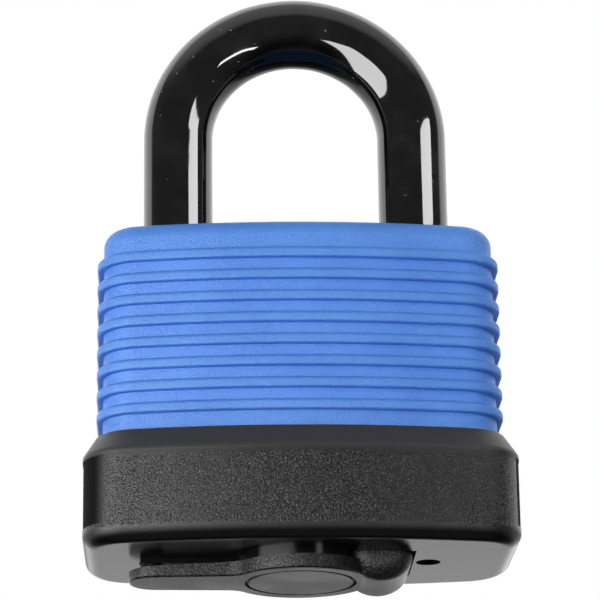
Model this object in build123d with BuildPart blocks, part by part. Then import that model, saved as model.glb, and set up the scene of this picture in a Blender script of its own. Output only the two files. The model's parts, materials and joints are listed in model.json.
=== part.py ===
from build123d import *
import math
import os

# A weatherproof laminated padlock: a riveted plate core in a ribbed jacket, with a base cap,
# a hinged keyway flap and a sleeved shackle. Millimetres. X runs across the body, the front
# faces -Y and +Z points up to the shackle. The origin is the middle of the footprint, level
# with the lowest point of the flap. The lock stands with its plug turned to open.

# Body outline: straight ends, front and back bulging on one radius
bow_radius = 107.0
jacket_half_width = 22.95
jacket_half_depth = 11.0
jacket_corner = 4.5
jacket_top = 41.85
jacket_top_round = 2.0
core_half_width = 20.0
core_half_depth = 9.0
core_corner = 3.4
shell_gap = 0.15

# Ribs round the jacket
rib_count = 8
rib_pitch = 2.63
rib_height = 1.3
rib_rise = 0.75
rib_upper_round = 0.55
rib_lower_round = 0.3
lowest_rib_edge = 18.4

# Base cap
base_half_width = 25.2
base_half_depth = 13.9
base_corner = 5.6
base_bottom = 3.0
base_floor_top = 8.0
base_crease = 13.75
base_top = 16.4
base_lip = 0.75
base_bottom_round = 1.8
crease_round = 0.8
jacket_fit_gap = 0.1
well_radius = 6.1
drain_x = 14.9
drain_radius = 1.45
end_recess_depth = 0.08
end_recess_low = 5.2
end_recess_high = 13.2
left_recess_x = -22.7
right_recess_x = 24.55
floor_pocket_half_depth = 7.2
floor_pocket_low = 5.0
left_pocket_span = (-21.0, -9.5)
right_pocket_span = (14.3, 21.0)
floor_pocket_corner = 1.5
flap_pad_bottom = 2.4
flap_pad_inset = 0.6
flap_pad_tip_x = -18.6

# Keyway flap, its hinge barrel, its snap pip and its seal
flap_bottom = 0.6
flap_top = 2.25
flap_disc_radius = 8.3
flap_edge_round = 0.35
ring_groove_radius = 6.3
ring_groove_width = 0.45
ring_groove_depth = 0.3
tab_tip_x = -19.95
tab_tip_half_width = 3.5
tab_hinge_half_width = 4.7
tab_tip_drop = 0.45
tab_tip_round = 3.3
tab_root_round = 2.5
barrel_x = 9.15
barrel_half_width = 3.7
barrel_half_height = 3.0
barrel_front = -5.6
barrel_back = 6.6
barrel_end_round = 2.2
hinge_z = 3.7
hinge_pin_radius = 0.4
hinge_pin_hold = 1.4
hinge_bore_gap = 0.06
barrel_pocket_radius = 4.05
barrel_end_gap = 0.2
pip_x = -17.2
pip_radius = 1.1
pip_top = 3.9
pip_hole_radius = 1.6
pip_hole_depth = 2.0
seal_outer_radius = 5.7
seal_inner_radius = 5.0
seal_top = 4.1
seal_seat_gap = 0.15

# Shackle: steel bar with a sleeve on its exposed length
leg_x = 14.2
bar_radius = 3.5
sleeve_radius = 4.25
sleeve_gap = 0.04
sleeve_end_z = 39.7
bend_z = 55.45
shackle_lift = 13.0
leg_hole_gap = 0.15
jacket_hole_radius = 4.6
toe_tip_z = 29.8
toe_chamfer = 0.7
heel_foot_z = 15.0
heel_foot_height = 2.0
heel_neck_radius = 1.7
notch_gap = 0.2

# Leg seals in the jacket's top
leg_seal_inner_radius = 4.35
leg_seal_outer_radius = 6.0
leg_seal_height = 1.4
leg_seal_groove_radius = 6.1
leg_seal_groove_top = 41.0

# Laminated core
plate_count = 13
plate_thickness = 2.4
core_bottom = 8.1
rivet_x = 17.6
rivet_y = 5.2
rivet_radius = 1.3
rivet_head_radius = 2.0
rivet_head_height = 0.7
rivet_gap = 0.05
cylinder_plates = 9
dog_plate = 11

# Lock cylinder; its axis lies forward of the middle to leave room for the pins
plug_y = -1.5
plug_radius = 4.0
plug_gap = 0.06
plug_head_radius = 4.7
plug_head_height = 0.9
cylinder_radius = 5.7
pin_block_half_width = 3.0
pin_block_back = 7.4
cylinder_fit_gap = 0.05
pin_count = 5
first_pin_z = 12.6
pin_spacing = 3.0
pin_radius = 1.0
pin_gap = 0.06
key_pin_lift = (0.3, 0.9, 0.5, 1.2, 0.7)
key_pin_tip = 0.5
shear_gap = 0.18
driver_pin_length = 1.7
cover_thickness = 0.6
cover_half_width = 1.5
keyway_width = 1.6
keyway_low = -3.3
keyway_high = 2.0
keyway_length = 18.0
keyway_ward_depth = 0.5
keyway_ward_height = 1.0
clip_groove_radius = 3.3
clip_outer_radius = 4.6
clip_thickness = 0.6
clip_mouth = 2.6
clip_seat_radius = 4.9
clip_seat_depth = 1.2
tang_size = 2.6
tang_length = 2.0
tang_gap = 0.05

# Cam and locking dogs: a quarter turn of the cam moves each dog by dog_travel
dog_travel = 1.8
cam_small = 2.4
cam_stem_radius = 2.5
cam_stem_gap = 0.15
cam_gap = 0.12
cam_points = 9
layer_gap = 0.1
dog_nose_half_depth = 2.4
dog_nose_rest = 10.45
dog_back_x = 8.0
dog_shoulder_x = 9.3
dog_arm_width = 1.3
dog_finger_width = 1.4
dog_finger_reach = 0.6
dog_arm_gap = 0.3
dog_side_gap = 0.15
dog_spring_seat = 1.2

# Springs, wire radius and mean coil radius
shackle_spring_wire = 0.3
shackle_spring_coil = 2.5
shackle_spring_turns = 4.5
pin_spring_wire = 0.13
pin_spring_coil = 0.75
pin_spring_turns = 5
dog_spring_wire = 0.15
dog_spring_coil = 0.8
dog_spring_turns = 3.5
spring_end_gap = 0.05

# Heel pin that stops the shackle at the top of its lift
heel_pin_radius = 0.8
heel_pin_half_length = 3.0
heel_pin_offset = 3.1
heel_flat_gap = 0.2
heel_pin_gap = 0.05

# Sizes that follow from those above
core_top = core_bottom + plate_count * plate_thickness
cylinder_top = core_bottom + cylinder_plates * plate_thickness
dog_floor = core_bottom + (dog_plate - 1) * plate_thickness
dog_ceiling = dog_floor + plate_thickness
heel_pin_z = dog_floor - plate_thickness / 2
heel_neck_low = heel_foot_z + heel_foot_height
heel_neck_high = dog_ceiling + notch_gap - shackle_lift
cam_large = cam_small + dog_travel
cam_rate = dog_travel / (math.pi / 2)
cam_reach = math.hypot(cam_large, cam_rate)
arm_inner = cam_reach + dog_arm_gap
arm_outer = arm_inner + dog_arm_width
notch_face_x = dog_nose_rest + dog_travel + notch_gap
pin_heights = [first_pin_z + i * pin_spacing for i in range(pin_count)]
plug_axis = Plane((0, plug_y, 0))
barrel_length = barrel_back - barrel_front
hinge_pin_back = barrel_back + hinge_pin_hold
hinge_pin_length = barrel_length + 2 * hinge_pin_hold

os.makedirs("parts", exist_ok=True)


def save(piece, node):
    """Label a finished piece and write it as its own file."""
    piece.part.label = node
    export_step(piece.part, "parts/" + node + ".step")
    print(node, round(piece.part.volume, 2))


def bowed_outline(half_width, half_depth, corner):
    """Face with straight ends, front and back bulging on bow_radius, and rounded corners."""
    shoulder = half_depth - bow_radius + math.sqrt(bow_radius**2 - half_width**2)
    with BuildSketch(mode=Mode.PRIVATE) as outline:
        with BuildLine():
            front = ThreePointArc((-half_width, -shoulder), (0, -half_depth), (half_width, -shoulder))
            right = Line(front @ 1, (half_width, shoulder))
            back = ThreePointArc(right @ 1, (0, half_depth), (-half_width, shoulder))
            Line(back @ 1, front @ 0)
        make_face()
        fillet(outline.vertices(), corner)
    return outline.sketch


def coil(axis, wire, radius, turns, length):
    """Open coil spring along the axis of a plane, its wire kept within length."""
    height = length - 2 * wire
    start = axis.offset(wire)
    with BuildPart() as spring:
        with BuildLine():
            path = Helix(height / turns, height, radius, center=start.origin, direction=axis.z_dir)
        with BuildSketch(Plane(origin=path @ 0, z_dir=path % 0)):
            Circle(wire)
        sweep(path=path, is_frenet=True)
    return spring


# One rib: a band of the jacket's outline with rounded edges, placed at each level below
with BuildPart() as rib:
    with BuildSketch():
        add(bowed_outline(jacket_half_width + rib_rise, jacket_half_depth + rib_rise,
                          jacket_corner + rib_rise))
    extrude(amount=rib_height)
    fillet(rib.faces().sort_by(Axis.Z)[-1].edges(), rib_upper_round)
    fillet(rib.faces().sort_by(Axis.Z)[0].edges(), rib_lower_round)

# Jacket: a ribbed cup, open below, holed for the two legs
with BuildPart() as jacket:
    with BuildSketch(Plane.XY.offset(base_floor_top + shell_gap)):
        add(bowed_outline(jacket_half_width, jacket_half_depth, jacket_corner))
    extrude(amount=jacket_top - base_floor_top - shell_gap)
    fillet(jacket.faces().sort_by(Axis.Z)[-1].edges(), jacket_top_round)
    with Locations(*[(0, 0, lowest_rib_edge + i * rib_pitch) for i in range(rib_count)]):
        add(rib.part)
    with BuildSketch(Plane.XY.offset(base_floor_top)):
        add(bowed_outline(core_half_width + shell_gap, core_half_depth + shell_gap, core_corner))
    extrude(amount=core_top + shell_gap - base_floor_top, mode=Mode.SUBTRACT)
    with BuildSketch(Plane.XY.offset(core_top)):
        with Locations((-leg_x, 0), (leg_x, 0)):
            Circle(jacket_hole_radius)
    extrude(amount=jacket_top - core_top, mode=Mode.SUBTRACT)
    with BuildSketch(Plane.XY.offset(core_top)):
        with Locations((-leg_x, 0), (leg_x, 0)):
            Circle(leg_seal_groove_radius)
    extrude(amount=leg_seal_groove_top - core_top, mode=Mode.SUBTRACT)
save(jacket, "jacket")

# Leg seals: rubber rings held between the core and the jacket's top
for side, seal_x in (("left", -leg_x), ("right", leg_x)):
    with BuildPart() as leg_seal:
        with BuildSketch(Plane.XY.offset(core_top + shell_gap)):
            with Locations((seal_x, 0)):
                Circle(leg_seal_outer_radius)
                Circle(leg_seal_inner_radius, mode=Mode.SUBTRACT)
        extrude(amount=leg_seal_height)
    save(leg_seal, "leg_seal_" + side)

# Base cap: a bevelled cup with the flap's pad, the keyway well, the hinge pocket and the drain
with BuildPart() as base_cap:
    with BuildSketch(Plane.XY.offset(base_bottom)):
        add(bowed_outline(base_half_width, base_half_depth, base_corner))
    extrude(amount=base_crease - base_bottom)
    with BuildSketch(Plane.XY.offset(base_crease)):
        add(bowed_outline(base_half_width, base_half_depth, base_corner))
    with BuildSketch(Plane.XY.offset(base_top)):
        add(bowed_outline(jacket_half_width + jacket_fit_gap + base_lip,
                          jacket_half_depth + jacket_fit_gap + base_lip,
                          jacket_corner + jacket_fit_gap + base_lip))
    loft(ruled=True)
    crease = base_cap.edges().group_by(Axis.Z)[2]
    fillet(crease, crease_round)
    fillet(base_cap.faces().sort_by(Axis.Z)[0].edges(), base_bottom_round)
    with BuildSketch(Plane.XY.offset(base_floor_top)):
        add(bowed_outline(jacket_half_width + jacket_fit_gap, jacket_half_depth + jacket_fit_gap,
                          jacket_corner + jacket_fit_gap))
    extrude(amount=base_top - base_floor_top, mode=Mode.SUBTRACT)
    with BuildSketch(Plane.XY.offset(floor_pocket_low)):
        for low_x, high_x in (left_pocket_span, right_pocket_span):
            with Locations(((low_x + high_x) / 2, 0)):
                RectangleRounded(high_x - low_x, 2 * floor_pocket_half_depth, floor_pocket_corner)
    extrude(amount=base_floor_top - floor_pocket_low, mode=Mode.SUBTRACT)
    with BuildSketch(Plane.XY.offset(flap_pad_bottom)):
        Circle(flap_disc_radius - flap_pad_inset)
        with Locations((flap_pad_tip_x, 0)):
            Rectangle(-flap_pad_tip_x, 2 * (tab_tip_half_width - flap_pad_inset),
                      align=(Align.MIN, Align.CENTER))
    extrude(amount=base_bottom - flap_pad_bottom)
    with BuildSketch(Plane.XY.offset(flap_pad_bottom)):
        Circle(well_radius)
        with Locations((drain_x, 0)):
            Circle(drain_radius)
    extrude(amount=base_floor_top - flap_pad_bottom, mode=Mode.SUBTRACT)
    with BuildSketch(Plane.XY.offset(flap_pad_bottom)):
        with Locations((pip_x, 0)):
            Circle(pip_hole_radius)
    extrude(amount=base_bottom + pip_hole_depth - flap_pad_bottom, mode=Mode.SUBTRACT)
    with BuildSketch(Plane.XZ.offset(-barrel_back - barrel_end_gap)):
        with Locations((barrel_x, hinge_z)):
            Circle(barrel_pocket_radius)
    extrude(amount=barrel_length + 2 * barrel_end_gap, mode=Mode.SUBTRACT)
    with BuildSketch(Plane.XZ.offset(-hinge_pin_back)):
        with Locations((barrel_x, hinge_z)):
            Circle(hinge_pin_radius)
    extrude(amount=hinge_pin_length, mode=Mode.SUBTRACT)
    with BuildSketch(Plane.XY.offset(end_recess_low)):
        add(bowed_outline(base_half_width, base_half_depth, base_corner))
        add(bowed_outline(base_half_width - end_recess_depth, base_half_depth - end_recess_depth,
                          base_corner - end_recess_depth), mode=Mode.SUBTRACT)
        with Locations(((left_recess_x + right_recess_x) / 2, 0)):
            Rectangle(right_recess_x - left_recess_x, 2 * base_half_depth, mode=Mode.SUBTRACT)
    extrude(amount=end_recess_high - end_recess_low, mode=Mode.SUBTRACT)
save(base_cap, "base_cap")

# Hinge barrel of the flap: oval, resting on the lowest level and turning in a round pocket
with BuildPart() as barrel:
    with BuildSketch(Plane.XZ.offset(-barrel_back)):
        with Locations((barrel_x, barrel_half_height)):
            Ellipse(barrel_half_width, barrel_half_height)
    extrude(amount=barrel_length)
    fillet(barrel.edges().filter_by(GeomType.ELLIPSE), barrel_end_round)

# Keyway flap: disc, pull tab and hinge barrel in one moulding
with BuildPart() as keyway_flap:
    with BuildSketch(Plane.XY.offset(flap_bottom)) as flap_plan:
        with BuildLine():
            Polyline((tab_tip_x, -tab_tip_half_width), (barrel_x, -tab_hinge_half_width),
                     (barrel_x, tab_hinge_half_width), (tab_tip_x, tab_tip_half_width), close=True)
        make_face()
        fillet(flap_plan.vertices().group_by(Axis.X)[0], tab_tip_round)
        Circle(flap_disc_radius)
        tab_roots = flap_plan.vertices().filter_by_position(Axis.X, -flap_disc_radius, 0)
        fillet(tab_roots, tab_root_round)
    extrude(amount=flap_top - flap_bottom)
    fillet(keyway_flap.faces().sort_by(Axis.Z)[0].edges(), flap_edge_round)
    with BuildSketch(Plane.XZ):
        with BuildLine():
            Polyline((-flap_disc_radius, flap_top), (tab_tip_x, flap_top),
                     (tab_tip_x, flap_top - tab_tip_drop), close=True)
        make_face()
    extrude(amount=tab_hinge_half_width, both=True, mode=Mode.SUBTRACT)
    add(barrel.part)
    with BuildSketch(Plane.XY.offset(flap_top)):
        Circle(seal_outer_radius + seal_seat_gap)
    extrude(amount=2 * barrel_half_height - flap_top, mode=Mode.SUBTRACT)
    with BuildSketch(Plane.XZ.offset(-hinge_pin_back)):
        with Locations((barrel_x, hinge_z)):
            Circle(hinge_pin_radius + hinge_bore_gap)
    extrude(amount=hinge_pin_length, mode=Mode.SUBTRACT)
    with BuildSketch(Plane.XY.offset(flap_bottom)):
        Circle(ring_groove_radius + ring_groove_width / 2)
        Circle(ring_groove_radius - ring_groove_width / 2, mode=Mode.SUBTRACT)
    extrude(amount=ring_groove_depth, mode=Mode.SUBTRACT)
    with BuildSketch(Plane.XY.offset(flap_top - tab_tip_drop)):
        with Locations((pip_x, 0)):
            Circle(pip_radius)
    extrude(amount=pip_top - flap_top + tab_tip_drop)
save(keyway_flap, "keyway_flap")

with BuildPart() as flap_seal:
    with BuildSketch(Plane.XY.offset(flap_top)):
        Circle(seal_outer_radius)
        Circle(seal_inner_radius, mode=Mode.SUBTRACT)
    extrude(amount=seal_top - flap_top)
save(flap_seal, "flap_seal")

with BuildPart() as flap_hinge_pin:
    with BuildSketch(Plane.XZ.offset(-hinge_pin_back)):
        with Locations((barrel_x, hinge_z)):
            Circle(hinge_pin_radius)
    extrude(amount=hinge_pin_length)
save(flap_hinge_pin, "flap_hinge_pin")

# Shackle: one bent bar; the left leg is the heel and stays in the body, the right is the toe
with BuildPart() as shackle_bar:
    with BuildLine() as bar_path:
        heel_line = Line((-leg_x, 0, heel_foot_z), (-leg_x, 0, bend_z))
        bend = ThreePointArc(heel_line @ 1, (0, 0, bend_z + leg_x), (leg_x, 0, bend_z))
        Line(bend @ 1, (leg_x, 0, toe_tip_z))
    with BuildSketch(Plane.XY.offset(heel_foot_z)):
        with Locations((-leg_x, 0)):
            Circle(bar_radius)
    sweep(path=bar_path.line)
    toe_edge = shackle_bar.faces().filter_by(Axis.Z).sort_by(Axis.X)[-1].edges()
    chamfer(toe_edge, toe_chamfer)
    with BuildSketch(Plane.XY.offset(heel_neck_low)):
        with Locations((-leg_x, 0)):
            Circle(2 * bar_radius)
            Circle(heel_neck_radius, mode=Mode.SUBTRACT)
    extrude(amount=heel_neck_high - heel_neck_low, mode=Mode.SUBTRACT)
    with BuildSketch(Plane.XY.offset(dog_floor - notch_gap)):
        Rectangle(2 * notch_face_x, 4 * bar_radius)
    extrude(amount=plate_thickness + 2 * notch_gap, mode=Mode.SUBTRACT)
    with BuildSketch(Plane.XY.offset(heel_neck_low)):
        with Locations((-leg_x - heel_pin_offset + heel_pin_radius + heel_flat_gap, 0)):
            Rectangle(2 * bar_radius, 4 * bar_radius, align=(Align.MAX, Align.CENTER))
    extrude(amount=heel_pin_z + heel_pin_radius + heel_flat_gap - heel_neck_low, mode=Mode.SUBTRACT)
save(shackle_bar, "shackle_bar")

with BuildPart() as shackle_sleeve:
    with BuildLine() as sleeve_path:
        sleeve_heel = Line((-leg_x, 0, sleeve_end_z), (-leg_x, 0, bend_z))
        sleeve_bend = ThreePointArc(sleeve_heel @ 1, (0, 0, bend_z + leg_x), (leg_x, 0, bend_z))
        Line(sleeve_bend @ 1, (leg_x, 0, sleeve_end_z))
    with BuildSketch(Plane.XY.offset(sleeve_end_z)):
        with Locations((-leg_x, 0)):
            Circle(sleeve_radius)
            Circle(bar_radius + sleeve_gap, mode=Mode.SUBTRACT)
    sweep(path=sleeve_path.line)
save(shackle_sleeve, "shackle_sleeve")

# Cylinder section, shared by the cylinder and by the holes that hold it
with BuildSketch(mode=Mode.PRIVATE) as cylinder_section:
    with Locations((0, plug_y)):
        Circle(cylinder_radius)
    with Locations((0, plug_y)):
        Rectangle(2 * pin_block_half_width, pin_block_back - plug_y, align=(Align.CENTER, Align.MIN))

# Laminated plates, each with the holes that its level needs
for number in range(1, plate_count + 1):
    plate_floor = core_bottom + (number - 1) * plate_thickness
    plate_ceiling = plate_floor + plate_thickness
    with BuildPart() as plate:
        with BuildSketch(Plane.XY.offset(plate_floor)):
            add(bowed_outline(core_half_width, core_half_depth, core_corner))
            with GridLocations(2 * rivet_x, 2 * rivet_y, 2, 2):
                Circle(rivet_radius + rivet_gap, mode=Mode.SUBTRACT)
            if number > 1:
                with Locations((-leg_x, 0)):
                    Circle(bar_radius + leg_hole_gap, mode=Mode.SUBTRACT)
            if number > cylinder_plates:
                with Locations((leg_x, 0)):
                    Circle(bar_radius + leg_hole_gap, mode=Mode.SUBTRACT)
            if number <= cylinder_plates:
                offset(cylinder_section.sketch, cylinder_fit_gap, kind=Kind.INTERSECTION,
                       mode=Mode.SUBTRACT)
            if number == dog_plate - 1:
                with Locations((0, plug_y)):
                    Circle(cam_stem_radius + cam_stem_gap, mode=Mode.SUBTRACT)
                with Locations((-leg_x - heel_pin_offset, 0)):
                    Rectangle(2 * (heel_pin_radius + heel_pin_gap), 2 * (heel_pin_half_length + heel_pin_gap),
                              mode=Mode.SUBTRACT)
            if number == dog_plate:
                with Locations((0, plug_y)):
                    Rectangle(2 * (dog_shoulder_x + dog_travel + notch_gap),
                              2 * (arm_outer + dog_side_gap), mode=Mode.SUBTRACT)
                Rectangle(2 * leg_x, 2 * (dog_nose_half_depth + dog_side_gap), mode=Mode.SUBTRACT)
        extrude(amount=plate_thickness)
        if number == 1:
            with BuildSketch(Plane.XY.offset(plate_floor)):
                with GridLocations(2 * rivet_x, 2 * rivet_y, 2, 2):
                    Circle(rivet_head_radius + rivet_gap)
            extrude(amount=rivet_head_height, mode=Mode.SUBTRACT)
        if number == plate_count:
            with BuildSketch(Plane.XY.offset(plate_ceiling - rivet_head_height)):
                with GridLocations(2 * rivet_x, 2 * rivet_y, 2, 2):
                    Circle(rivet_head_radius + rivet_gap)
            extrude(amount=rivet_head_height, mode=Mode.SUBTRACT)
    save(plate, f"core_plate_{number:02d}")

# Rivets: shanks with a flat head let into the outer plate at each end
with BuildPart() as body_rivets:
    with BuildSketch(Plane.XY.offset(core_bottom)):
        with GridLocations(2 * rivet_x, 2 * rivet_y, 2, 2):
            Circle(rivet_radius)
    extrude(amount=core_top - core_bottom)
    for head_z in (core_bottom, core_top - rivet_head_height):
        with BuildSketch(Plane.XY.offset(head_z)):
            with GridLocations(2 * rivet_x, 2 * rivet_y, 2, 2):
                Circle(rivet_head_radius)
        extrude(amount=rivet_head_height)
save(body_rivets, "body_rivets")

# Cylinder body with the plug's bore, its end seats and the pin chambers
cylinder_floor = core_bottom + layer_gap / 2
cylinder_ceiling = cylinder_top - layer_gap / 2
cover_front = pin_block_back - cover_thickness
with BuildPart() as cylinder_body:
    with BuildSketch(Plane.XY.offset(cylinder_floor)):
        add(cylinder_section.sketch)
        with Locations((0, plug_y)):
            Circle(plug_radius + plug_gap, mode=Mode.SUBTRACT)
    extrude(amount=cylinder_ceiling - cylinder_floor)
    with BuildSketch(plug_axis.offset(cylinder_floor)):
        Circle(plug_head_radius + plug_gap)
    extrude(amount=plug_head_height + plug_gap, mode=Mode.SUBTRACT)
    with BuildSketch(plug_axis.offset(cylinder_ceiling - clip_seat_depth)):
        Circle(clip_seat_radius)
    extrude(amount=clip_seat_depth, mode=Mode.SUBTRACT)
    with BuildSketch(Plane.XZ.offset(-pin_block_back)):
        with Locations(*[(0, height) for height in pin_heights]):
            Circle(pin_radius + pin_gap)
    extrude(amount=pin_block_back - plug_y, mode=Mode.SUBTRACT)
    with BuildSketch(Plane.XZ.offset(-pin_block_back)):
        with Locations((0, (cylinder_floor + cylinder_ceiling) / 2)):
            Rectangle(2 * cover_half_width, cylinder_ceiling - cylinder_floor)
    extrude(amount=cover_thickness, mode=Mode.SUBTRACT)
save(cylinder_body, "cylinder_body")

with BuildPart() as pin_cover:
    with BuildSketch(Plane.XZ.offset(-pin_block_back)):
        with Locations((0, (cylinder_floor + cylinder_ceiling) / 2)):
            Rectangle(2 * cover_half_width, cylinder_ceiling - cylinder_floor)
    extrude(amount=cover_thickness)
save(pin_cover, "pin_cover")

# Plug: head, keyway with a ward, pin chambers, clip groove and the cam's square socket
plug_top = cylinder_ceiling - clip_seat_depth + 2 * clip_thickness
clip_low = cylinder_ceiling - clip_seat_depth + plug_gap
with BuildPart() as cylinder_plug:
    with BuildSketch(plug_axis.offset(cylinder_floor)):
        Circle(plug_head_radius)
    extrude(amount=plug_head_height)
    with BuildSketch(plug_axis.offset(cylinder_floor)):
        Circle(plug_radius)
    extrude(amount=plug_top - cylinder_floor)
    with BuildSketch(plug_axis.offset(cylinder_floor)):
        with Locations((0, (keyway_low + keyway_high) / 2)):
            Rectangle(keyway_width, keyway_high - keyway_low)
        with Locations((keyway_width / 2, (keyway_low + keyway_high) / 2)):
            Rectangle(2 * keyway_ward_depth, keyway_ward_height, mode=Mode.SUBTRACT)
    extrude(amount=keyway_length, mode=Mode.SUBTRACT)
    with BuildSketch(Plane.XZ.offset(-plug_y)):
        with Locations(*[(0, height) for height in pin_heights]):
            Circle(pin_radius + pin_gap)
    extrude(amount=-2 * plug_radius, mode=Mode.SUBTRACT)
    with BuildSketch(plug_axis.offset(clip_low)):
        Circle(2 * plug_radius)
        Circle(clip_groove_radius, mode=Mode.SUBTRACT)
    extrude(amount=clip_thickness, mode=Mode.SUBTRACT)
    with BuildSketch(plug_axis.offset(plug_top - tang_length)):
        Rectangle(tang_size, tang_size)
    extrude(amount=tang_length, mode=Mode.SUBTRACT)
save(cylinder_plug, "cylinder_plug")

with BuildPart() as plug_clip:
    with BuildSketch(plug_axis.offset(clip_low + plug_gap / 2)):
        Circle(clip_outer_radius)
        Circle(clip_groove_radius + plug_gap, mode=Mode.SUBTRACT)
        Rectangle(2 * clip_outer_radius, clip_mouth, align=(Align.MIN, Align.CENTER), mode=Mode.SUBTRACT)
    extrude(amount=clip_thickness - plug_gap)
save(plug_clip, "plug_clip")

# Pin stacks, set at the shear line as a key would hold them
shear_y = plug_y + plug_radius
with BuildPart() as key_pins:
    for height, lift in zip(pin_heights, key_pin_lift):
        tip_y = plug_y + lift
        top_y = shear_y - shear_gap
        with BuildSketch(Plane.YZ):
            with BuildLine():
                Polyline((tip_y, height), (tip_y + key_pin_tip, height + pin_radius),
                         (top_y, height + pin_radius), (top_y, height), close=True)
            make_face()
        revolve(axis=Axis((0, 0, height), (0, 1, 0)))
save(key_pins, "key_pins")

driver_front = shear_y + shear_gap / 2
driver_back = driver_front + driver_pin_length
with BuildPart() as driver_pins:
    with BuildSketch(Plane.XZ.offset(-driver_back)):
        with Locations(*[(0, height) for height in pin_heights]):
            Circle(pin_radius)
    extrude(amount=driver_pin_length)
save(driver_pins, "driver_pins")

pin_spring_start = driver_back + spring_end_gap
pin_spring_length = cover_front - spring_end_gap - pin_spring_start
pin_coils = []
for height in pin_heights:
    spring_axis = Plane(origin=(0, pin_spring_start, height), z_dir=(0, 1, 0))
    pin_coils.append(coil(spring_axis, pin_spring_wire, pin_spring_coil, pin_spring_turns, pin_spring_length))
with BuildPart() as pin_springs:
    add([spring.part for spring in pin_coils])
save(pin_springs, "pin_springs")

# Cam: each lobe is the curve that pushes a flat finger out at a steady rate, so that the dogs
# move in step with the plug. At direction turn, the face stands cam_small + cam_rate * turn
# from the axis and the touching point lies cam_rate to the side.
cam_floor = dog_floor + layer_gap
cam_height = plate_thickness - 2 * layer_gap


def cam_point(turn):
    """Point of the first lobe for a turn in radians, shrunk by the running gap."""
    reach = cam_small - cam_gap + cam_rate * turn
    return (reach * math.cos(turn) - cam_rate * math.sin(turn),
            reach * math.sin(turn) + cam_rate * math.cos(turn))


lobe = [cam_point(math.pi / 2 * i / (cam_points - 1)) for i in range(cam_points)]
far_lobe = [(-x, -y) for x, y in lobe]
rest_turn = -90
with BuildPart() as lock_cam:
    with BuildSketch(plug_axis.offset(cam_floor).rotated((0, 0, rest_turn))):
        with BuildLine():
            first = Spline(*lobe)
            Line(first @ 1, far_lobe[0])
            second = Spline(*far_lobe)
            Line(second @ 1, lobe[0])
        make_face()
    extrude(amount=cam_height)
    with BuildSketch(plug_axis.offset(plug_top + tang_gap)):
        Circle(cam_stem_radius)
    extrude(amount=cam_floor - plug_top - tang_gap)
    with BuildSketch(plug_axis.offset(plug_top - tang_length + tang_gap)):
        Rectangle(tang_size - 2 * tang_gap, tang_size - 2 * tang_gap)
    extrude(amount=tang_length)
save(lock_cam, "lock_cam")

# Locking dogs: nose, shoulder, an arm past the cam and a finger on the cam's far side.
# The right dog's arm passes in front of the cam, the left dog's behind it.
finger_inner = cam_large
finger_outer = finger_inner + dog_finger_width
for name, side in (("right", 1), ("left", -1)):
    arm_near = plug_y - side * arm_inner
    arm_far = plug_y - side * arm_outer
    finger_end = plug_y - side * dog_finger_reach
    seat_edge = plug_y + side * (dog_finger_reach + 2 * dog_spring_coil + dog_spring_seat)
    back_x = side * dog_back_x
    shoulder_x = side * dog_shoulder_x
    near_x = -side * finger_inner
    far_x = -side * finger_outer
    with BuildPart() as dog:
        with BuildSketch(Plane.XY.offset(cam_floor)):
            with Locations((side * (dog_nose_rest + dog_back_x) / 2, 0)):
                Rectangle(dog_nose_rest - dog_back_x, 2 * dog_nose_half_depth)
            with BuildLine():
                Polyline((shoulder_x, arm_far), (shoulder_x, seat_edge), (back_x, seat_edge),
                         (back_x, arm_near), (near_x, arm_near), (near_x, finger_end),
                         (far_x, finger_end), (far_x, arm_far), close=True)
            make_face()
        extrude(amount=cam_height)
    save(dog, "locking_dog_" + name)

# Dog springs, each between one dog's finger and the other dog's shoulder
dog_spring_z = cam_floor + cam_height / 2
dog_spring_length = dog_back_x - finger_outer - 2 * spring_end_gap
for name, side in (("right", 1), ("left", -1)):
    spring_y = plug_y + side * (dog_finger_reach + dog_spring_coil + 2 * dog_spring_wire)
    spring_start = (side * (finger_outer + spring_end_gap), spring_y, dog_spring_z)
    dog_spring = coil(Plane(origin=spring_start, z_dir=(side, 0, 0)), dog_spring_wire, dog_spring_coil,
                      dog_spring_turns, dog_spring_length)
    save(dog_spring, "dog_spring_" + name)

# Shackle spring under the heel's foot, and the pin that stops the heel
spring_floor = core_bottom + plate_thickness + spring_end_gap
shackle_spring = coil(Plane((-leg_x, 0, spring_floor)), shackle_spring_wire, shackle_spring_coil,
                      shackle_spring_turns, heel_foot_z - spring_end_gap - spring_floor)
save(shackle_spring, "shackle_spring")

with BuildPart() as heel_pin:
    with BuildSketch(Plane.XZ.offset(-heel_pin_half_length)):
        with Locations((-leg_x - heel_pin_offset, heel_pin_z)):
            Circle(heel_pin_radius)
    extrude(amount=2 * heel_pin_half_length)
save(heel_pin, "heel_pin")
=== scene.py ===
import json
import math

import bpy
import numpy as np
from mathutils import Matrix, Vector


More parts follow.
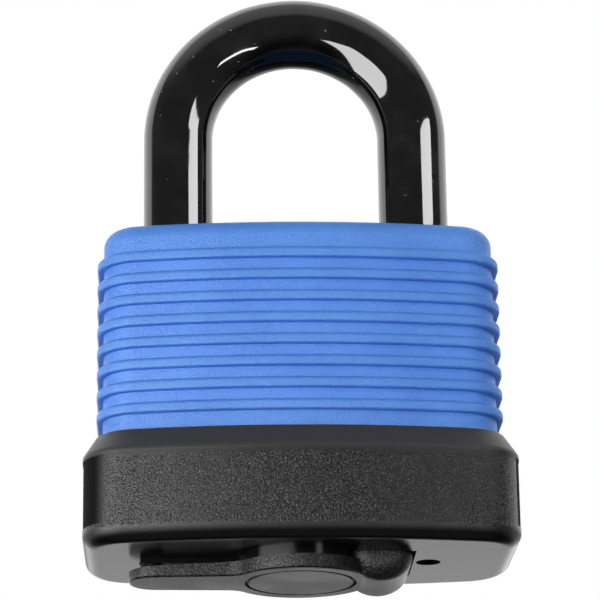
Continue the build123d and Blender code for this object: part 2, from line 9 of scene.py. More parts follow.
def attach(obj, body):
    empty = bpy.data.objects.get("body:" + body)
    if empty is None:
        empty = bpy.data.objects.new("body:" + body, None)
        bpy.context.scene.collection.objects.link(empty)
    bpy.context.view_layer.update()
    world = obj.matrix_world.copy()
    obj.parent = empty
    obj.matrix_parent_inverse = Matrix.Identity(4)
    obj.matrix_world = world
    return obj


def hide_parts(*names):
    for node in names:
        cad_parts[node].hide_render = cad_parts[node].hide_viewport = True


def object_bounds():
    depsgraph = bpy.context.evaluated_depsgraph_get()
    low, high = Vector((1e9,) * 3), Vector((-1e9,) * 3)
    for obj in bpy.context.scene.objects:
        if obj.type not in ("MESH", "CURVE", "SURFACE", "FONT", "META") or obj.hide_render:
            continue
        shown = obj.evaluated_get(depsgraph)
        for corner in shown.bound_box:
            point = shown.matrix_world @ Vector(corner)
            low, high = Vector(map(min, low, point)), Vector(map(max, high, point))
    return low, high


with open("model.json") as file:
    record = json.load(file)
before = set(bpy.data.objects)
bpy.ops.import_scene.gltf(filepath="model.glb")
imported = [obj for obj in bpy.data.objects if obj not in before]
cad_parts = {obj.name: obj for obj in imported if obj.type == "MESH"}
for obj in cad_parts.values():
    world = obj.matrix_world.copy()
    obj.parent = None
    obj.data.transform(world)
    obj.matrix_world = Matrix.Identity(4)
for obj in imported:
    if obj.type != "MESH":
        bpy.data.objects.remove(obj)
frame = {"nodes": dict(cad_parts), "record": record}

cad_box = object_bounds()

MM = 0.001

# Photograph's camera: place in millimetres, turns in radians, lens for a frame of 600 pixels
FRAME_PIXELS = 600
FOCAL_PIXELS = 3000
SENSOR_MM = 36
CAMERA_PLACE_MM = (-13.56, -341.237, -76.458)
CAMERA_YAW = 0.0408
CAMERA_PITCH = 0.316
CAMERA_ROLL = -0.014
CAMERA_NEAREST = 0.01

# Softboxes: azimuth from the camera's side, elevation, width, height and roll in degrees as the shackle
# sees them, and how bright they are, beside the white background, to matt and to glossy faces. The lamps
# for glossy faces stand near, so the base sees them higher than the shackle does. Distances in metres.
SOFTBOX_DISTANCES = {"matt": 0.6, "glossy": 0.2}
SOFTBOX_TARGET_MM = (0, 0, 58)
SOFTBOXES = {
    "left_softbox": (-45, -17, 58, 36, 11, 3.6, 10.5),
    "right_softbox": (48, 17.5, 32, 10, 8, 5.6, 11.2),
    "right_strip": (30, -18, 4, 28, 0, 5.5, 22),
}

# Power of an area lamp that shines as brightly as white, in watts per square metre
WHITE_LAMP_POWER = 4

# Brightness of the studio's parts to matt and to glossy faces
STUDIO = {
    "matt": {"foot": 1.0, "head": 0.3, "ceiling": 0.3, "front": 0.25, "below": 0.19, "ground": 0.19},
    "glossy": {"foot": 0.9, "head": 2.1, "ceiling": 1.0, "front": 0.2, "below": 0.02, "ground": 0.16},
}

# Where those parts begin and end, by a direction's share along Y, away from the camera, and along Z, up
BACKDROP_SIDE = (0.02, 0.2)
BACKDROP_EDGE = (-0.5, -0.3)
BACKDROP_RISE = (-0.3, 0.3)
CEILING_FADE = (0.6, 0.85)
FRONT_FADE = (-0.8, -0.2)
GROUND_FADE = (-0.8, -0.98)

# Floor: its drop below the lock, half its side and the distances over which it clears to white, in metres,
# the share of white that it starts from, and the scale of its grit
FLOOR_DROP = 0.15
FLOOR_HALF_SIZE = 4.0
FLOOR_CLEARING = (0.25, 0.9)
FLOOR_PALENESS = 0.6
FLOOR_GRIT_SCALE = 60.0

# Shackle sleeve, in millimetres
LEG_X = 14.2
BEND_Z = 55.45
SLEEVE_END_Z = 39.7
SLEEVE_RADIUS = 4.25
SLEEVE_BORE = 3.54
SLEEVE_SIDES = 72
SLEEVE_ROWS = 320
LIP_ROWS = 9

# Sleeve's thicker wall inside the bend: its depth, how far before the bend it starts and how long it is
GATHER_DEPTH = 0.1
GATHER_LEAD = 3
GATHER_LENGTH = 2 * LEG_X + 12

# Sleeve's waves: depth on the legs, depth added in the bend, and each wave's share, length, count round
# the sleeve and phase
WAVE_DEPTH = 0.004
WAVE_BEND_DEPTH = 0.01
SLEEVE_WAVES = ((0.45, 6.1, 2, 0), (0.35, 9.7, -1, 1.1), (0.2, 3.7, 3, 2.3))

# Base: levels, in millimetres, over which its leather grain fades in and out, its bevel begins and the
# satin finish of its underside ends
GRAIN_FADE_LOW = (4.2, 4.9)
GRAIN_FADE_HIGH = (13.3, 12.4)
BEVEL_FADE = (13.2, 13.7)
SATIN_FADE = (3.1, 4.2)

# Base: end recesses painted dark as shade, where they fade in and between which levels, in millimetres
LEFT_RECESS = (-22.3, -23.9)
RIGHT_RECESS = (24.5, 24.7)
RECESS_LOW = (5.2, 5.3)
RECESS_HIGH = (13.2, 13.1)

# Base: roughness of its smooth faces and of its recesses, and how much of the fine texture its smooth
# faces have beside the grain
SMOOTH_ROUGHNESS = 0.5
RECESS_ROUGHNESS = 1.0
SMOOTH_RELIEF = 0.2

# Sizes of the textures' features, in millimetres
JACKET_GRAIN = 0.22
BASE_PEBBLE = 0.28
BASE_GRAIN = 0.16
FLAP_GRAIN = 0.3
RUBBER_GRAIN = 0.4
CLOUD_SIZE = 9
PEBBLE_DRIFT = 0.5
SPECK_SPACING = 1.6
SCRATCH_SPACING = 0.8
FILM_SIZE = 5
TOOL_LINE_SPACING = 0.15
STAIN_SIZE = 4

# Spans of a texture's values over which each mask rises from 0 to 1
PIT_SPAN = (0.42, 0.3)
CLOUD_SPAN = (0.35, 0.65)
PEBBLE_SPAN = (0.0, 0.45)
PEBBLE_TOP_SPAN = (0.12, 0.42)
SPECK_SPAN = (0.1, 0.03)
SCRATCH_SPAN = (0.12, 0.04)
FILM_SPAN = (0.4, 0.75)
STAIN_SPAN = (0.4, 0.7)
MOTTLE_SPAN = (0.34, 0.66)

# Span that holds most values of a noise texture, and the span of a mask
NOISE_SPAN = (0.3, 0.7)
MASK_SPAN = (0.0, 1.0)

# How strongly the painted shade in the jacket's pits and the sleeve's film and dust show, how many marks
# there are on the sleeve, and how many scratches beside specks
PIT_SHADE_SHARE = 0.6
FILM_SHARE = 0.8
DUST_SHARE = 0.85
SLEEVE_MARKS = 0.4
SCRATCH_SHARE = 0.35

VECTOR = "NodeSocketVector"
FLOAT = "NodeSocketFloat"


def rgb(red, green, blue):
    """Linear colour with full alpha."""
    return (red, green, blue, 1.0)


# Metals: colour where clean and where stained, stretch of the tool lines along each axis, roughness where
# clean and where stained, and depth of the lines in millimetres
METALS = {
    "shackle_steel": {"clean": rgb(0.56, 0.57, 0.58), "stained": rgb(0.42, 0.41, 0.40),
                      "stretch": (1, 1, 0.02), "roughness": (0.25, 0.37), "depth": 0.01},
    "plate_steel": {"clean": rgb(0.50, 0.51, 0.52), "stained": rgb(0.36, 0.35, 0.34),
                    "stretch": (0.02, 1, 1), "roughness": (0.35, 0.47), "depth": 0.012},
    "bright_steel": {"clean": rgb(0.60, 0.60, 0.61), "stained": rgb(0.47, 0.46, 0.46),
                     "stretch": (1, 0.02, 1), "roughness": (0.22, 0.34), "depth": 0.008},
    "spring_steel": {"clean": rgb(0.42, 0.43, 0.45), "stained": rgb(0.30, 0.29, 0.30),
                     "stretch": (0.3, 0.3, 0.3), "roughness": (0.3, 0.42), "depth": 0.005},
    "lock_brass": {"clean": rgb(0.72, 0.53, 0.24), "stained": rgb(0.50, 0.34, 0.14),
                   "stretch": (1, 1, 0.02), "roughness": (0.28, 0.4), "depth": 0.01},
}


def give(tree, socket, value):
    """Link another socket to this one, or set its value."""
    if isinstance(value, bpy.types.NodeSocket):
        tree.links.new(value, socket)
    else:
        socket.default_value = value


def add_node(tree, kind, inputs=None, **settings):
    """Add a node to a tree. Settings are its properties; an input is a value, or a socket to link."""
    made = tree.nodes.new(kind)
    for name, value in settings.items():
        setattr(made, name, value)
    for name, value in (inputs or {}).items():
        give(tree, made.inputs[name], value)
    return made


def math_node(tree, operation, first, second, clamp=False):
    """Output of a Math node on two values or sockets."""
    return add_node(tree, "ShaderNodeMath", {0: first, 1: second}, operation=operation,
                    use_clamp=clamp).outputs[0]


def vector_node(tree, operation, first, second):
    """Output of a Vector Math node on two vectors or sockets."""
    return add_node(tree, "ShaderNodeVectorMath", {0: first, 1: second}, operation=operation).outputs[0]


def ramp(tree, value, span, result=MASK_SPAN):
    """Smooth step of a value: the first result where the span starts, the second where it ends."""
    return add_node(tree, "ShaderNodeMapRange",
                    {"Value": value, "From Min": span[0], "From Max": span[1],
                     "To Min": result[0], "To Max": result[1]},
                    interpolation_type="SMOOTHSTEP").outputs["Result"]


def ramp_mm(tree, place, span):
    """Smooth step from 0 to 1 along a coordinate, over a span in millimetres."""
    return ramp(tree, place, [edge * MM for edge in span])


def blend(tree, share, first, second):
    """Output of a mix of values: first where share is 0, second where it is 1."""
    return add_node(tree, "ShaderNodeMix", {"Factor": share, "A": first, "B": second}).outputs["Result"]


def blend_colour(tree, share, first, second):
    """Output of a mix of colours: first where share is 0, second where it is 1."""
    return add_node(tree, "ShaderNodeMix", {0: share, 6: first, 7: second}, data_type="RGBA").outputs[2]


def noise(tree, place, scale, detail, roughness=0.5):
    """Output of a noise texture, from 0 to 1."""
    return add_node(tree, "ShaderNodeTexNoise", {"Vector": place, "Scale": scale, "Detail": detail,
                                                 "Roughness": roughness}).outputs["Fac"]


def texture_scale(size):
    """Scale of a texture whose features are this many millimetres large."""
    return 1 / (size * MM)


def new_group(name, inputs, outputs):
    """Empty shader node group: its tree, the sockets it reads and the sockets it fills."""
    tree = bpy.data.node_groups.new(name, "ShaderNodeTree")
    for label, kind in inputs.items():
        tree.interface.new_socket(label, in_out="INPUT", socket_type=kind)
    for label in outputs:
        tree.interface.new_socket(label, in_out="OUTPUT", socket_type=FLOAT)
    return tree, tree.nodes.new("NodeGroupInput").outputs, tree.nodes.new("NodeGroupOutput").inputs


def mould_texture_group():
    """Fine texture of a moulded face: height, a mask of its pits, where shade is painted, and broad
    clouding, each from 0 to 1.
    """
    tree, given, filled = new_group("mould_texture", {"Place": VECTOR, "Grain": FLOAT},
                                    ("Height", "Pit_shade", "Cloud"))
    scale = math_node(tree, "DIVIDE", 1 / MM, given["Grain"])
    fine = noise(tree, given["Place"], scale, detail=3.0, roughness=0.6)
    broad = noise(tree, given["Place"], texture_scale(CLOUD_SIZE), detail=2.0)
    tree.links.new(fine, filled["Height"])
    tree.links.new(ramp(tree, fine, PIT_SPAN), filled["Pit_shade"])
    tree.links.new(ramp(tree, broad, CLOUD_SPAN), filled["Cloud"])
    return tree


def leather_grain_group():
    """Leather grain: rounded, uneven pebbles parted by thin creases. Height, and a mask of their tops."""
    tree, given, filled = new_group("leather_grain", {"Place": VECTOR, "Pebble": FLOAT},
                                    ("Height", "Tops"))
    scale = math_node(tree, "DIVIDE", 1 / MM, given["Pebble"])
    drift = add_node(tree, "ShaderNodeTexNoise",
                     {"Vector": given["Place"], "Scale": scale, "Detail": 1.0}).outputs["Color"]
    centred = vector_node(tree, "SUBTRACT", drift, (0.5, 0.5, 0.5))
    shift = vector_node(tree, "MULTIPLY", centred, (PEBBLE_DRIFT * MM,) * 3)
    place = vector_node(tree, "ADD", given["Place"], shift)
    edge = add_node(tree, "ShaderNodeTexVoronoi", {"Vector": place, "Scale": scale},
                    feature="DISTANCE_TO_EDGE").outputs["Distance"]
    tree.links.new(ramp(tree, edge, PEBBLE_SPAN), filled["Height"])
    tree.links.new(ramp(tree, edge, PEBBLE_TOP_SPAN), filled["Tops"])
    return tree


def handling_marks_group():
    """Dust specks, short scratches and a patchy film on a glossy face, each as a mask from 0 to 1."""
    tree, given, filled = new_group("handling_marks", {"Place": VECTOR, "Amount": FLOAT},
                                    ("Specks", "Scratches", "Film"))
    specks = add_node(tree, "ShaderNodeTexVoronoi",
                      {"Vector": given["Place"], "Scale": texture_scale(SPECK_SPACING)}).outputs
    speck_tone = add_node(tree, "ShaderNodeSeparateColor", {0: specks["Color"]}).outputs["Red"]
    chosen = math_node(tree, "LESS_THAN", speck_tone, given["Amount"])
    spots = ramp(tree, specks["Distance"], SPECK_SPAN)
    tree.links.new(math_node(tree, "MULTIPLY", spots, chosen), filled["Specks"])
    drawn_out = add_node(tree, "ShaderNodeMapping",
                         {"Vector": given["Place"], "Rotation": (0.0, 0.5, 0.3), "Scale": (0.16, 1.0, 1.0)})
    scratches = add_node(tree, "ShaderNodeTexVoronoi",
                         {"Vector": drawn_out.outputs[0], "Scale": texture_scale(SCRATCH_SPACING)}).outputs
    scratch_tone = add_node(tree, "ShaderNodeSeparateColor", {0: scratches["Color"]}).outputs["Green"]
    few = math_node(tree, "MULTIPLY", given["Amount"], SCRATCH_SHARE)
    rare = math_node(tree, "LESS_THAN", scratch_tone, few)
    lines = ramp(tree, scratches["Distance"], SCRATCH_SPAN)
    tree.links.new(math_node(tree, "MULTIPLY", lines, rare), filled["Scratches"])
    film = noise(tree, given["Place"], texture_scale(FILM_SIZE), detail=4.0, roughness=0.65)
    tree.links.new(ramp(tree, film, FILM_SPAN), filled["Film"])
    return tree


def tool_lines_group():
    """Lines left by grinding or turning: their height, and a mask of stains, each from 0 to 1.

    Stretch shrinks the coordinates along one axis, which draws the lines out along it.
    """
    tree, given, filled = new_group("tool_lines", {"Place": VECTOR, "Stretch": VECTOR},
                                    ("Height", "Stain"))
    drawn_out = vector_node(tree, "MULTIPLY", given["Place"], given["Stretch"])
    lines = noise(tree, drawn_out, texture_scale(TOOL_LINE_SPACING), detail=3.0)
    stain = noise(tree, given["Place"], texture_scale(STAIN_SIZE), detail=4.0)
    tree.links.new(lines, filled["Height"])
    tree.links.new(ramp(tree, stain, STAIN_SPAN), filled["Stain"])
    return tree


mould_texture = mould_texture_group()
leather_grain = leather_grain_group()
handling_marks = handling_marks_group()
tool_lines = tool_lines_group()


class Finish:
    """A material with its Principled shader and Object coordinates at hand."""

    def __init__(self, name):
        self.material = bpy.data.materials.new(name)
        self.material.use_nodes = True
        self.tree = self.material.node_tree
        self.shader = self.tree.nodes["Principled BSDF"]
        self.place = add_node(self.tree, "ShaderNodeTexCoord").outputs["Object"]

    def group(self, tree, **values):
        """Place a shared group, fed with the Object coordinates."""
        return add_node(self.tree, "ShaderNodeGroup", {"Place": self.place, **values},
                        node_tree=tree).outputs

    def feed(self, **sockets):
        """Link sockets, or set values, on the shader's inputs; underscores stand for spaces."""
        for name, value in sockets.items():
            give(self.tree, self.shader.inputs[name.replace("_", " ")], value)

    def bump(self, height, depth, strength):
        """Normal from a height of 0 to 1, with a depth in millimetres."""
        made = add_node(self.tree, "ShaderNodeBump",
                        {"Height": height, "Distance": depth * MM, "Strength": strength})
        self.feed(Normal=made.outputs["Normal"])


def blue_jacket():
    """Matt blue moulded plastic: faint clouding, and painted shade in fine darker pits."""
    deep_blue = rgb(0.070, 0.246, 0.745)
    light_blue = rgb(0.083, 0.273, 0.785)
    pit_shade_blue = rgb(0.046, 0.170, 0.57)
    finish = Finish("blue_jacket")
    tree = finish.tree
    texture = finish.group(mould_texture, Grain=JACKET_GRAIN)
    clouded = blend_colour(tree, texture["Cloud"], deep_blue, light_blue)
    # Painted shade: the pits, the low spots of the texture, come out darker blue.
    pit_shade = math_node(tree, "MULTIPLY", texture["Pit_shade"], PIT_SHADE_SHARE)
    finish.feed(Base_Color=blend_colour(tree, pit_shade, clouded, pit_shade_blue), Specular_IOR_Level=0.3,
                Roughness=ramp(tree, texture["Height"], NOISE_SPAN, (0.4, 0.58)))
    finish.bump(texture["Height"], depth=0.13, strength=0.9)
    return finish.material


def base_masks(tree, place):
    """Masks on the base: its end recesses, the grained band, the bevel and all above the satin underside."""
    axes = add_node(tree, "ShaderNodeSeparateXYZ", {0: place}).outputs
    level = axes["Z"]
    ends = math_node(tree, "MAXIMUM", ramp_mm(tree, axes["X"], LEFT_RECESS),
                     ramp_mm(tree, axes["X"], RIGHT_RECESS))
    storey = math_node(tree, "MULTIPLY", ramp_mm(tree, level, RECESS_LOW),
                       ramp_mm(tree, level, RECESS_HIGH))
    recess_shade = math_node(tree, "MULTIPLY", ends, storey)
    upright = math_node(tree, "MULTIPLY", ramp_mm(tree, level, GRAIN_FADE_LOW),
                        ramp_mm(tree, level, GRAIN_FADE_HIGH))
    band = math_node(tree, "SUBTRACT", upright, recess_shade, clamp=True)
    return recess_shade, band, ramp_mm(tree, level, BEVEL_FADE), ramp_mm(tree, level, SATIN_FADE)


def grained_base():
    """Black moulded plastic: leather grain on the upright faces, satin below, matt bevel and end recesses.

    The recesses are painted shade: as a black metal, which mirrors next to nothing, they lose their sheen.
    """
    # Painted shade: the crease black darkens the creases between the grain's pebbles.
    crease_shade_black = rgb(0.005, 0.005, 0.0052)
    pebble_black = rgb(0.014, 0.0137, 0.0134)
    # Painted shade: the recess black, on a black metal without sheen, darkens the end recesses.
    recess_shade_black = rgb(0.008, 0.0079, 0.0079)
    bevel_grey = rgb(0.024, 0.0234, 0.0238)
    finish = Finish("grained_base")
    tree = finish.tree
    grain = finish.group(leather_grain, Pebble=BASE_PEBBLE)
    fine = finish.group(mould_texture, Grain=BASE_GRAIN)
    recess_shade, band, bevel, above = base_masks(tree, finish.place)
    # Painted shade in the creases: the pebble tops come out lighter than the creases between them.
    tops = math_node(tree, "MULTIPLY", grain["Tops"], band)
    pebbled = blend_colour(tree, tops, crease_shade_black, pebble_black)
    sides = blend_colour(tree, recess_shade, pebbled, recess_shade_black)
    satin_roughness = ramp(tree, fine["Height"], NOISE_SPAN, (0.12, 0.18))
    grain_roughness = ramp(tree, grain["Height"], MASK_SPAN, (0.3, 0.18))
    smooth_roughness = blend(tree, above, satin_roughness, SMOOTH_ROUGHNESS)
    side_roughness = blend(tree, band, smooth_roughness, grain_roughness)
    # Painted shade at the end recesses: they count as a black metal, which mirrors next to nothing.
    finish.feed(Base_Color=blend_colour(tree, bevel, sides, bevel_grey), Metallic=recess_shade,
                Roughness=blend(tree, recess_shade, side_roughness, RECESS_ROUGHNESS), Specular_IOR_Level=0.25)
    smooth_relief = math_node(tree, "MULTIPLY", fine["Height"], SMOOTH_RELIEF)
    finish.bump(blend(tree, band, smooth_relief, grain["Height"]), depth=0.037, strength=1.0)
    return finish.material


def satin_flap():
    """Dark grey satin plastic of the flap, mottled and slightly warm."""
    dark_grey = rgb(0.002, 0.0019, 0.0018)
    light_grey = rgb(0.026, 0.0251, 0.0238)
    finish = Finish("satin_flap")
    tree = finish.tree
    texture = finish.group(mould_texture, Grain=FLAP_GRAIN)
    mottle = ramp(tree, texture["Height"], MOTTLE_SPAN)
    finish.feed(Base_Color=blend_colour(tree, mottle, dark_grey, light_grey), Specular_IOR_Level=0.24,
                Roughness=ramp(tree, texture["Cloud"], MASK_SPAN, (0.37, 0.3)))
    finish.bump(texture["Height"], depth=0.16, strength=0.9)
    return finish.material


def gloss_sleeve():
    """Glossy black sleeve with dust specks, fine scratches and a faint film."""
    sleeve_black = rgb(0.003, 0.003, 0.0034)
    film_grey = rgb(0.015, 0.015, 0.015)
    dust_grey = rgb(0.22, 0.215, 0.21)
    finish = Finish("gloss_sleeve")
    tree = finish.tree
    marks = finish.group(handling_marks, Amount=SLEEVE_MARKS)
    film = math_node(tree, "MULTIPLY", marks["Film"], FILM_SHARE)
    filmed = blend_colour(tree, film, sleeve_black, film_grey)
    marked = math_node(tree, "MAXIMUM", marks["Specks"], marks["Scratches"])
    dust = math_node(tree, "MULTIPLY", marked, DUST_SHARE)
    finish.feed(Base_Color=blend_colour(tree, dust, filmed, dust_grey), Specular_IOR_Level=0.54,
                Roughness=ramp(tree, marks["Film"], MASK_SPAN, (0.05, 0.1)))
    return finish.material


def seal_rubber():
    """Soft black rubber with a dry bloom."""
    rubber_black = rgb(0.012, 0.012, 0.012)
    bloom_grey = rgb(0.022, 0.022, 0.021)
    finish = Finish("seal_rubber")
    tree = finish.tree
    texture = finish.group(mould_texture, Grain=RUBBER_GRAIN)
    finish.feed(Base_Color=blend_colour(tree, texture["Cloud"], rubber_black, bloom_grey),
                Roughness=ramp(tree, texture["Height"], NOISE_SPAN, (0.6, 0.8)))
    finish.bump(texture["Height"], depth=0.03, strength=0.5)
    return finish.material


def worked_metal(name, clean, stained, stretch, roughness, depth):
    """Metal with tool lines along one direction and a stain that colours and dulls it."""
    finish = Finish(name)
    tree = finish.tree
    lines = finish.group(tool_lines, Stretch=stretch)
    finish.feed(Base_Color=blend_colour(tree, lines["Stain"], clean, stained), Metallic=1.0,
                Roughness=ramp(tree, lines["Stain"], MASK_SPAN, roughness))
    finish.bump(lines["Height"], depth, strength=0.6)
    return finish.material


MATERIALS = {
    "jacket_plastic": blue_jacket(),
    "base_plastic": grained_base(),
    "flap_plastic": satin_flap(),
    "sleeve_plastic": gloss_sleeve(),
    "seal_rubber": seal_rubber(),
    **{name: worked_metal(name, **look) for name, look in METALS.items()},
}


def finish_cad_nodes():
    """Give each CAD node the material of its slot."""
    for part in frame["record"]["subparts"]:
        piece = frame["nodes"][part["node"]]
        piece.data.materials.clear()
        piece.data.materials.append(MATERIALS[part["material_slot"]])


def add_object(name, data):
    """Object of this mesh, camera or lamp, in the scene."""
    made = bpy.data.objects.new(name, data)
    bpy.context.scene.collection.objects.link(made)
    return made


def closed_surface(name, points):
    """Mesh object of a grid of points that closes on itself both ways, its faces turned outwards."""
    rows, sides = points.shape[:2]
    index = np.arange(rows * sides).reshape(rows, sides)
    ahead = np.roll(index, -1, axis=0)
    aside = np.roll(index, -1, axis=1)
    faces = np.stack([index, ahead, np.roll(ahead, -1, axis=1), aside], axis=-1).reshape(-1, 4)
    mesh = bpy.data.meshes.new(name)
    mesh.from_pydata(points.reshape(-1, 3), [], faces)
    mesh.shade_smooth()
    return add_object(name, mesh)


def sleeve_rows(length):
    """Rings of the sleeve: how far along the path each lies, its radius and its share of the swell.

    The rings run along the outside, round one half-round lip, back through the bore and round the other
    lip. The swell fades out at both ends of the outside, by the root of a sine along it, and the lips and
    the bore have none.
    """
    lip = (SLEEVE_RADIUS - SLEEVE_BORE) / 2
    rim = SLEEVE_BORE + lip
    outside = np.linspace(lip, length - lip, SLEEVE_ROWS)
    turn = np.linspace(0, math.pi, LIP_ROWS + 2)[1:-1]
    along = np.concatenate([outside, length - lip + lip * np.sin(turn),
                            outside[::-1], lip - lip * np.sin(turn)])
    radius = np.concatenate([np.full(SLEEVE_ROWS, SLEEVE_RADIUS), rim + lip * np.cos(turn),
                             np.full(SLEEVE_ROWS, SLEEVE_BORE), rim - lip * np.cos(turn)])
    shown = np.concatenate([np.sin(math.pi * (outside - lip) / (length - 2 * lip)) ** 0.5,
                            np.zeros(along.size - SLEEVE_ROWS)])
    return along, radius, shown


def shackle_sleeve():
    """Sleeve pushed over the bent bar: a ring carried up one leg, round the bend and down the other.

    A row of the grid is a ring at a distance along the path, and a column is an angle round the ring, from
    the outside of the bend. A point lies at its ring's radius from the path: by the cosine of its angle in
    the plane of the bend, and by the sine square to that plane. Outside, the wall is thicker where the bend
    gathers it, by half of one less the cosine, times a sine along the bend. A sum of sines in distance and
    angle makes shallow waves, which are deeper in the bend.
    """
    straight = BEND_Z - SLEEVE_END_Z
    length = 2 * straight + math.pi * LEG_X
    along, radius, shown = sleeve_rows(length)
    angles = np.arange(SLEEVE_SIDES) * 2 * math.pi / SLEEVE_SIDES
    s, around = np.meshgrid(along, angles, indexing="ij")
    bent = np.clip((s - straight) / LEG_X, 0, math.pi)
    waves = sum(share * np.sin(2 * math.pi * s / wavelength + count * around + phase)
                for share, wavelength, count, phase in SLEEVE_WAVES)
    gathered = np.sin(np.clip((s - straight + GATHER_LEAD) / GATHER_LENGTH, 0, 1) * math.pi)
    swell = (GATHER_DEPTH * gathered * (1 - np.cos(around)) / 2
             + (WAVE_DEPTH + WAVE_BEND_DEPTH * np.sin(bent)) * (waves - 1))
    reach = radius[:, None] + shown[:, None] * swell
    out = LEG_X + reach * np.cos(around)
    facing = math.pi - bent
    below = np.maximum(straight - s, 0) + np.maximum(s - length + straight, 0)
    points = np.stack([out * np.cos(facing), reach * np.sin(around),
                       BEND_Z + out * np.sin(facing) - below], axis=-1)
    return closed_surface("sleeve_skin", points * MM)


def dress_shackle():
    """Stand the modelled sleeve for the plain one."""
    sleeve = shackle_sleeve()
    sleeve.data.materials.append(MATERIALS["sleeve_plastic"])
    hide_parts("shackle_sleeve")
    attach(sleeve, "shackle")


def build_camera():
    """Camera at the photograph's place, looking up at the lock from the front."""
    forward = Vector((math.sin(CAMERA_YAW) * math.cos(CAMERA_PITCH),
                      math.cos(CAMERA_YAW) * math.cos(CAMERA_PITCH), math.sin(CAMERA_PITCH)))
    level = Vector((math.cos(CAMERA_YAW), -math.sin(CAMERA_YAW), 0))
    upright = level.cross(forward)
    right = level * math.cos(CAMERA_ROLL) + upright * math.sin(CAMERA_ROLL)
    up = upright * math.cos(CAMERA_ROLL) - level * math.sin(CAMERA_ROLL)
    camera = add_object("camera", bpy.data.cameras.new("camera"))
    camera.data.sensor_width = SENSOR_MM
    camera.data.lens = SENSOR_MM * FOCAL_PIXELS / FRAME_PIXELS
    camera.data.clip_start = CAMERA_NEAREST
    camera.matrix_world = (Matrix.Translation(Vector(CAMERA_PLACE_MM) * MM)
                           @ Matrix((right, up, -forward)).transposed().to_4x4())
    bpy.context.scene.camera = camera


def build_softboxes():
    """Area lamps that face the lock from their directions, one for matt faces and one for glossy ones."""
    target = Vector(SOFTBOX_TARGET_MM) * MM
    for name, (azimuth, elevation, width, height, roll, matt, glossy) in SOFTBOXES.items():
        turn = math.radians(azimuth)
        rise = math.radians(elevation)
        away = Vector((math.sin(turn) * math.cos(rise), -math.cos(turn) * math.cos(rise), math.sin(rise)))
        for share, brightness in (("matt", matt), ("glossy", glossy)):
            distance = SOFTBOX_DISTANCES[share]
            lamp = bpy.data.lights.new(f"{name}_{share}", "AREA")
            lamp.shape = "RECTANGLE"
            lamp.size = 2 * distance * math.tan(math.radians(width / 2))
            lamp.size_y = 2 * distance * math.tan(math.radians(height / 2))
            lamp.energy = WHITE_LAMP_POWER * brightness * lamp.size * lamp.size_y
            box = add_object(lamp.name, lamp)
            box.matrix_world = (Matrix.Translation(target + away * distance)
                                @ away.to_track_quat("Z", "Y").to_matrix().to_4x4()
                                @ Matrix.Rotation(math.radians(roll), 4, "Z"))
            box.visible_camera = False
            box.visible_diffuse = share == "matt"
            box.visible_glossy = share == "glossy"


def studio_level(tree, along, foot, head, ceiling, front, below, ground):
    """Brightness of the studio in each direction: the brightest of its parts there."""
    behind = math_node(tree, "MULTIPLY", ramp(tree, along["Y"], BACKDROP_SIDE),
                       ramp(tree, along["Z"], BACKDROP_EDGE))
    rising = ramp(tree, along["Z"], BACKDROP_RISE, (foot, head))
    backdrop = math_node(tree, "MULTIPLY", behind, rising)
    overhead = ramp(tree, along["Z"], CEILING_FADE, (0.0, ceiling))
    dim = ramp(tree, along["Z"], FRONT_FADE, (below, front))
    underneath = ramp(tree, along["Z"], GROUND_FADE, (0.0, ground))
    return math_node(tree, "MAXIMUM", math_node(tree, "MAXIMUM", backdrop, overhead),
                     math_node(tree, "MAXIMUM", dim, underneath))


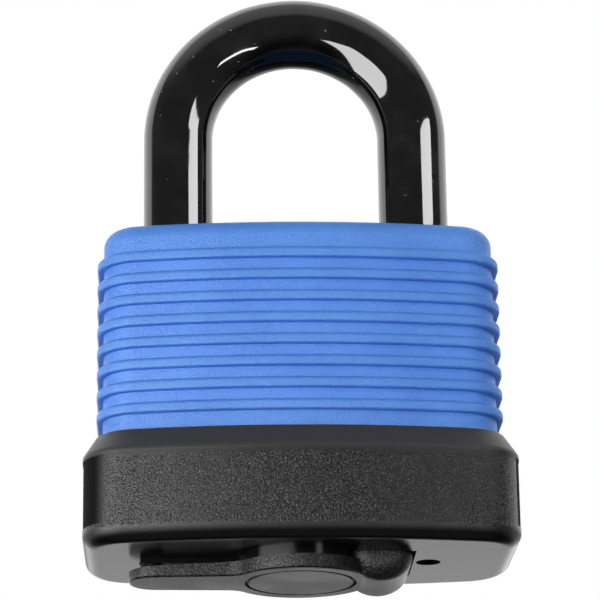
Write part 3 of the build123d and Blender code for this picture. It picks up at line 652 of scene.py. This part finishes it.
def build_world():
    """White to the camera. The lock sees a backdrop behind it, a ceiling, a dim front and the ground."""
    world = bpy.data.worlds.new("studio")
    bpy.context.scene.world = world
    world.use_nodes = True
    tree = world.node_tree
    direction = add_node(tree, "ShaderNodeTexCoord").outputs["Generated"]
    along = add_node(tree, "ShaderNodeSeparateXYZ", {0: direction}).outputs
    levels = {share: studio_level(tree, along, **parts) for share, parts in STUDIO.items()}
    path = add_node(tree, "ShaderNodeLightPath").outputs
    lit = blend(tree, path["Is Glossy Ray"], levels["matt"], levels["glossy"])
    seen = math_node(tree, "MAXIMUM", path["Is Camera Ray"], path["Is Transmission Ray"])
    background = tree.nodes["Background"].inputs
    background["Color"].default_value = rgb(1, 1, 1)
    tree.links.new(math_node(tree, "MAXIMUM", lit, seen), background["Strength"])


def pale_paint():
    """Pale floor paint that clears to white away from the middle, and is see-through from below."""
    material = bpy.data.materials.new("pale_floor")
    material.use_nodes = True
    tree = material.node_tree
    place = add_node(tree, "ShaderNodeTexCoord").outputs["Object"]
    spot = vector_node(tree, "MULTIPLY", place, (1, 1, 0))
    away = add_node(tree, "ShaderNodeVectorMath", {0: spot}, operation="LENGTH").outputs["Value"]
    clearing = ramp(tree, away, FLOOR_CLEARING, (FLOOR_PALENESS, 1.0))
    grit = noise(tree, place, FLOOR_GRIT_SCALE, detail=3.0)
    greys = blend_colour(tree, grit, rgb(0.80, 0.80, 0.80), rgb(0.84, 0.84, 0.84))
    paint = add_node(tree, "ShaderNodeBsdfDiffuse", {"Color": greys}).outputs[0]
    white = add_node(tree, "ShaderNodeEmission", {"Strength": 1.0}).outputs[0]
    top = add_node(tree, "ShaderNodeMixShader", {0: clearing, 1: paint, 2: white}).outputs[0]
    from_below = add_node(tree, "ShaderNodeNewGeometry").outputs["Backfacing"]
    nothing = add_node(tree, "ShaderNodeBsdfTransparent").outputs[0]
    shown = add_node(tree, "ShaderNodeMixShader", {0: from_below, 1: top, 2: nothing}).outputs[0]
    tree.links.new(shown, tree.nodes["Material Output"].inputs["Surface"])
    return material


def build_floor():
    """Floor below the lock, which the lock neither mirrors nor takes light from."""
    half = FLOOR_HALF_SIZE
    level = cad_box[0].z - FLOOR_DROP
    corners = [(-half, -half, level), (half, -half, level), (half, half, level), (-half, half, level)]
    mesh = bpy.data.meshes.new("floor")
    mesh.from_pydata(corners, [], [(0, 1, 2, 3)])
    mesh.materials.append(pale_paint())
    floor = add_object("floor", mesh)
    floor.visible_glossy = False
    floor.visible_diffuse = False


finish_cad_nodes()
dress_shackle()
build_camera()
build_softboxes()
build_world()
build_floor()
bpy.context.scene.view_settings.view_transform = "Standard"
